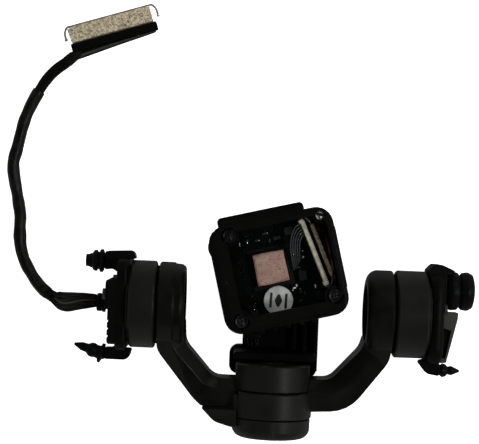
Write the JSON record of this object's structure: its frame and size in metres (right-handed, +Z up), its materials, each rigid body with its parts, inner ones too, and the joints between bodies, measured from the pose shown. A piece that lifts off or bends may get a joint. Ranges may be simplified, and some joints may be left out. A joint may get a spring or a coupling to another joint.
{
  "type": "camera gimbal",
  "caption": "Three-axis camera gimbal for a small drone: U-shaped yoke between two pitch units, yaw motor, pan arm and open camera housing, with a coax cable and connector.",
  "frame": {"origin": "centre of the box of the gimbal without its free cable, on the surface that it lies on", "axes": "+X along the pitch axis, +Y along the yaw axis towards the camera, +Z up, the way the open camera housing faces"},
  "size_m": [0.0958, 0.0874, 0.0227],
  "materials": {
    "dark_cast": "satin black paint on a magnesium casting",
    "anodised": "satin dark grey anodising with a fine turned grain",
    "copper": "enamelled copper winding",
    "steel": "bright ground steel",
    "black_steel": "black oxide",
    "magnet": "nickel-plated magnets",
    "rubber": "matt black silicone rubber",
    "black_plastic": "fine-textured moulding",
    "cable_black": "slightly glossy coax jackets with tape",
    "gold_foil": "crinkled gold shielding foil",
    "board": "dark solder mask",
    "chip": "moulded package",
    "thermal_pad": "soft pink-grey gap filler",
    "label": null,
    "socket_cream": "cream connector moulding"
  },
  "bodies": {
    "left_mount": {"left_bracket": "dark_cast", "left_pitch_can": "anodised", "pitch_stator": "copper", "pitch_bearing_outer": "steel", "pitch_bearing_inner": "steel", "damper_upper_left": "rubber", "damper_lower_left": "rubber", "left_bracket_screw_1": "black_steel", "left_bracket_screw_2": "black_steel", "cable_gland": "rubber", "cable_inner_run": "cable_black", "cable": "cable_black", "cable_fanout": "cable_black", "connector_body": "black_plastic", "connector_shell": "gold_foil"},
    "yoke": {"yoke_frame": "anodised", "left_hub_cover": "black_plastic", "right_hub_cover": "black_plastic", "pitch_magnet_ring": "magnet", "pitch_shaft": "steel", "idler_shaft": "steel", "left_arm_cable_cover": "black_plastic", "yaw_stator": "copper", "yaw_bearing_upper": "steel", "yaw_bearing_lower": "steel", "yaw_cap": "anodised", "yaw_cap_screw_1": "black_steel", "yaw_cap_screw_2": "black_steel"},
    "right_mount": {"right_bracket": "dark_cast", "right_pitch_can": "anodised", "idler_bearing": "steel", "damper_upper_right": "rubber", "damper_lower_right": "rubber", "right_bracket_screw_1": "black_steel", "right_bracket_screw_2": "black_steel"},
    "pan_arm": {"pan_arm": "dark_cast", "yaw_rotor_can": "anodised", "yaw_magnet_ring": "magnet", "yaw_shaft": "steel", "roll_stator": "copper", "roll_bearing_rear": "steel", "roll_bearing_front": "steel", "roll_back_cover": "black_plastic", "pan_arm_harness": "cable_black"},
    "camera": {"camera_housing": "dark_cast", "roll_rotor_can": "anodised", "roll_magnet_ring": "magnet", "roll_shaft": "steel", "main_board": "board", "image_processor": "chip", "thermal_pad": "thermal_pad", "round_label": "label", "coax_socket": "socket_cream", "coax_contact_bar": "gold_foil", "coax_leads": "cable_black", "camera_screw_1": "black_steel", "camera_screw_2": "steel", "camera_screw_3": "black_steel", "camera_screw_4": "black_steel"},
    "lock_bar": {"connector_lock_bar": "steel"}
  },
  "joints": [
    {"name": "pitch", "type": "hinge", "parent": "left_mount", "child": "yoke", "pos_m": [-0.0237, 0.002, 0.013], "axis": [1, 0, 0], "range_deg": [-22, 100]},
    {"name": "pitch_idler", "type": "hinge", "parent": "yoke", "child": "right_mount", "pos_m": [0.0243, 0.002, 0.013], "axis": [1, 0, 0], "range_deg": [-100, 22]},
    {"name": "yaw", "type": "hinge", "parent": "yoke", "child": "pan_arm", "pos_m": [0.0003, -0.014, 0.013], "axis": [0, 1, 0], "range_deg": [-12, 12]},
    {"name": "roll", "type": "hinge", "parent": "pan_arm", "child": "camera", "pos_m": [0.0003, 0.0114, 0.008], "axis": [0, 0, 1], "range_deg": [-44, 16]},
    {"name": "lock_bar_hinge", "type": "hinge", "parent": "left_mount", "child": "lock_bar", "pos_m": [-0.03568, 0.05842, 0.0014], "axis": [0.9537, 0.3007, 0], "range_deg": [0, 100]}
  ],
  "couplings": [
    {"joint": "pitch_idler", "follows": "pitch", "ratio": -1}
  ]
}
